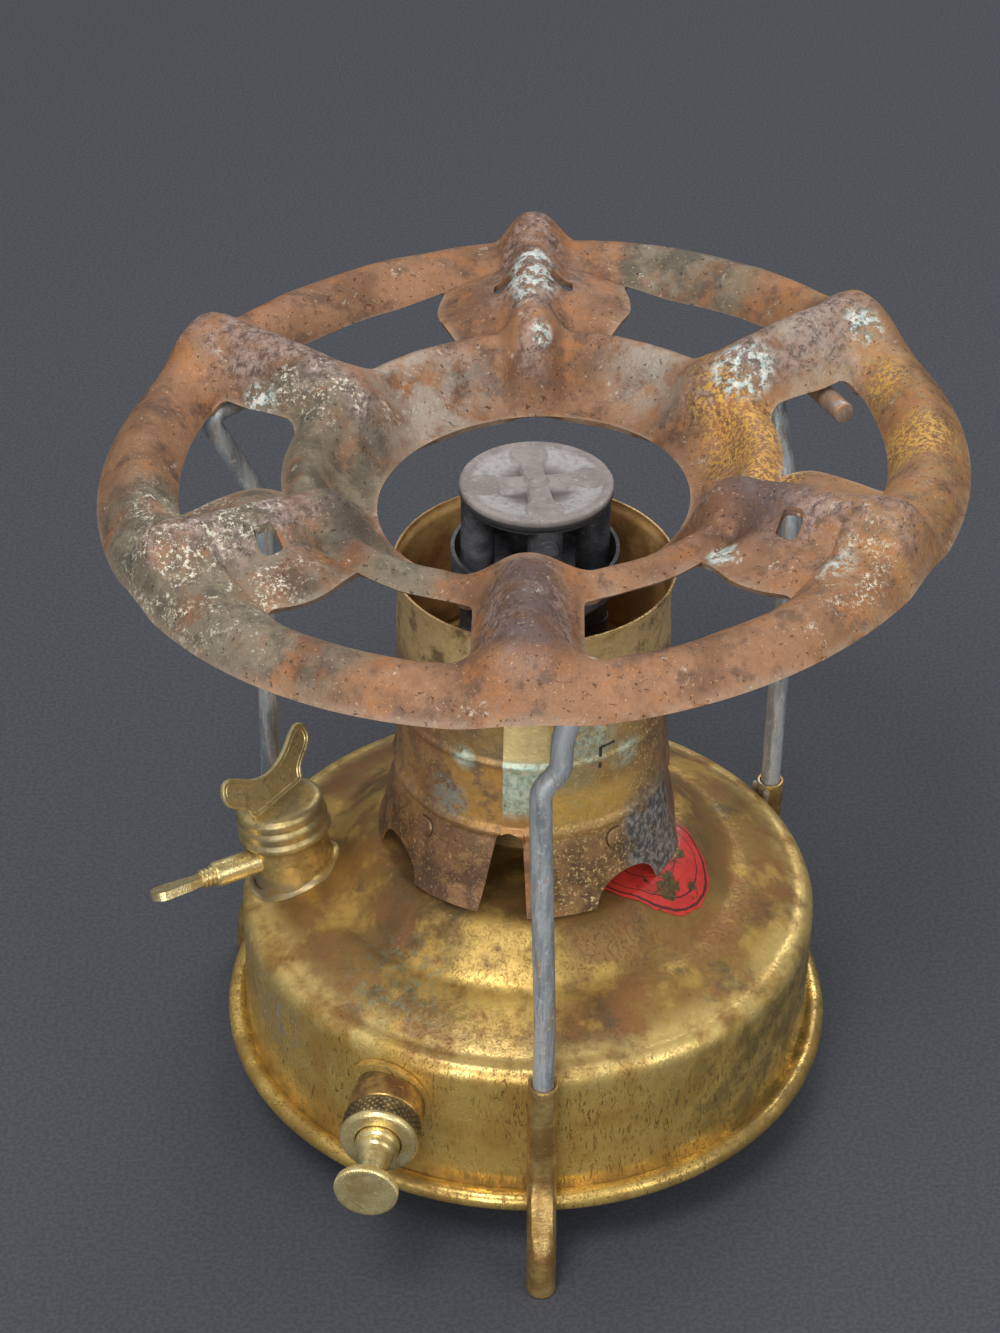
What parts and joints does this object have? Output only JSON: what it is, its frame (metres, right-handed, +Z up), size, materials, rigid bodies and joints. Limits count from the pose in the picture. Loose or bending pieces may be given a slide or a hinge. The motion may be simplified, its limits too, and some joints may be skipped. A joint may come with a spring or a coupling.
{
  "type": "pressure stove",
  "caption": "Brass kerosene pressure stove: round fuel tank on legs, hand pump in its wall, capped filler, burner inside a windshield and a loose ribbed ring for the pan.",
  "frame": {"origin": "on the tank's axis, at the height of the table that the feet stand on", "axes": "+Z up along the tank's axis, -Y towards the front leg, +X to the right when facing the front leg"},
  "size_m": [0.2256, 0.2264, 0.2295],
  "materials": {
    "tank_brass": "aged and crazed, semi-gloss",
    "dull_brass": "brown tarnish, satin",
    "fitting_brass": "handled and worn bright, semi-gloss",
    "shield_brass": "heat tinted with verdigris, matte",
    "leg_steel": "dull grey, stained",
    "rod_steel": "drawn bright",
    "ring_steel": "heat scale and rust, matte",
    "burner_dark": "sooted, matte",
    "burner_face": "burnt grey, matte",
    "label_red": "worn printed skin, satin",
    "leather": "oiled",
    "lead": "dull grey washer",
    "seat_rubber": "matte"
  },
  "bodies": {
    "stove": {"tank_shell": "tank_brass", "tank_base": "tank_brass", "tank_label": "label_red", "leg_socket_front": "dull_brass", "leg_socket_right": "dull_brass", "leg_socket_left": "dull_brass", "leg_front": "leg_steel", "leg_right": "leg_steel", "leg_left": "leg_steel", "filler_neck": "dull_brass", "pump_collar": "fitting_brass", "pump_barrel": "dull_brass", "pump_cap": "fitting_brass", "valve_washer": "lead", "valve_body": "dull_brass", "valve_spring": "rod_steel", "valve_plug": "dull_brass", "riser_boss": "dull_brass", "riser_tube": "dull_brass", "spirit_cup": "dull_brass", "burner_washer": "lead", "burner_base": "burner_dark", "burner_jet": "fitting_brass", "vapour_tube_front": "burner_dark", "vapour_tube_right": "burner_dark", "vapour_tube_back": "burner_dark", "vapour_tube_left": "burner_dark", "air_cup": "burner_dark", "burner_top": "burner_face", "flame_spreader": "burner_face", "tube_plug": "burner_dark"},
    "pump_rod": {"pump_rod": "rod_steel", "pump_knob": "fitting_brass", "pump_washer_front": "dull_brass", "pump_leather": "leather", "pump_washer_back": "dull_brass", "pump_nut": "dull_brass"},
    "cap_seal": {"filler_gasket": "leather"},
    "cap": {"filler_cap": "fitting_brass", "filler_wing": "fitting_brass"},
    "air_screw": {"air_screw": "fitting_brass"},
    "valve_plunger": {"valve_plunger": "dull_brass", "valve_pip": "seat_rubber"},
    "windshield": {"windshield": "shield_brass"},
    "pan_ring": {"pan_ring": "ring_steel"}
  },
  "joints": [
    {"name": "pump_stroke", "type": "slide", "parent": "stove", "child": "pump_rod", "axis": [-0.1822, -0.9833, 0], "range_m": [0, 0.1076]},
    {"name": "cap_rise", "type": "slide", "parent": "stove", "child": "cap_seal", "axis": [-0.1729, 0.0806, 0.9816], "range_m": [0, 0.00635]},
    {"name": "cap_turn", "type": "hinge", "parent": "cap_seal", "child": "cap", "pos_m": [-0.0668, 0, 0.07163], "axis": [-0.1729, 0.0806, 0.9816], "range_deg": [0, 1800]},
    {"name": "air_screw_turn", "type": "hinge", "parent": "stove", "child": "air_screw", "pos_m": [-0.0668, 0, 0.07863], "axis": [-0.8796, -0.4756, 0], "range_deg": [0, 540]},
    {"name": "valve_lift", "type": "slide", "parent": "stove", "child": "valve_plunger", "axis": [0.1822, 0.9833, 0], "range_m": [0, 0.0008], "stiffness_N_per_m": 200, "springref_m": -0.002},
    {"name": "windshield_lift", "type": "slide", "parent": "stove", "child": "windshield", "axis": [0, 0, 1], "range_m": [0, 0.016]},
    {"name": "pan_ring_lift", "type": "slide", "parent": "stove", "child": "pan_ring", "axis": [0, 0, 1], "range_m": [0, 0.12]}
  ],
  "couplings": [
    {"joint": "cap_turn", "follows": "cap_rise", "rad_per_m": 4947.4}
  ]
}
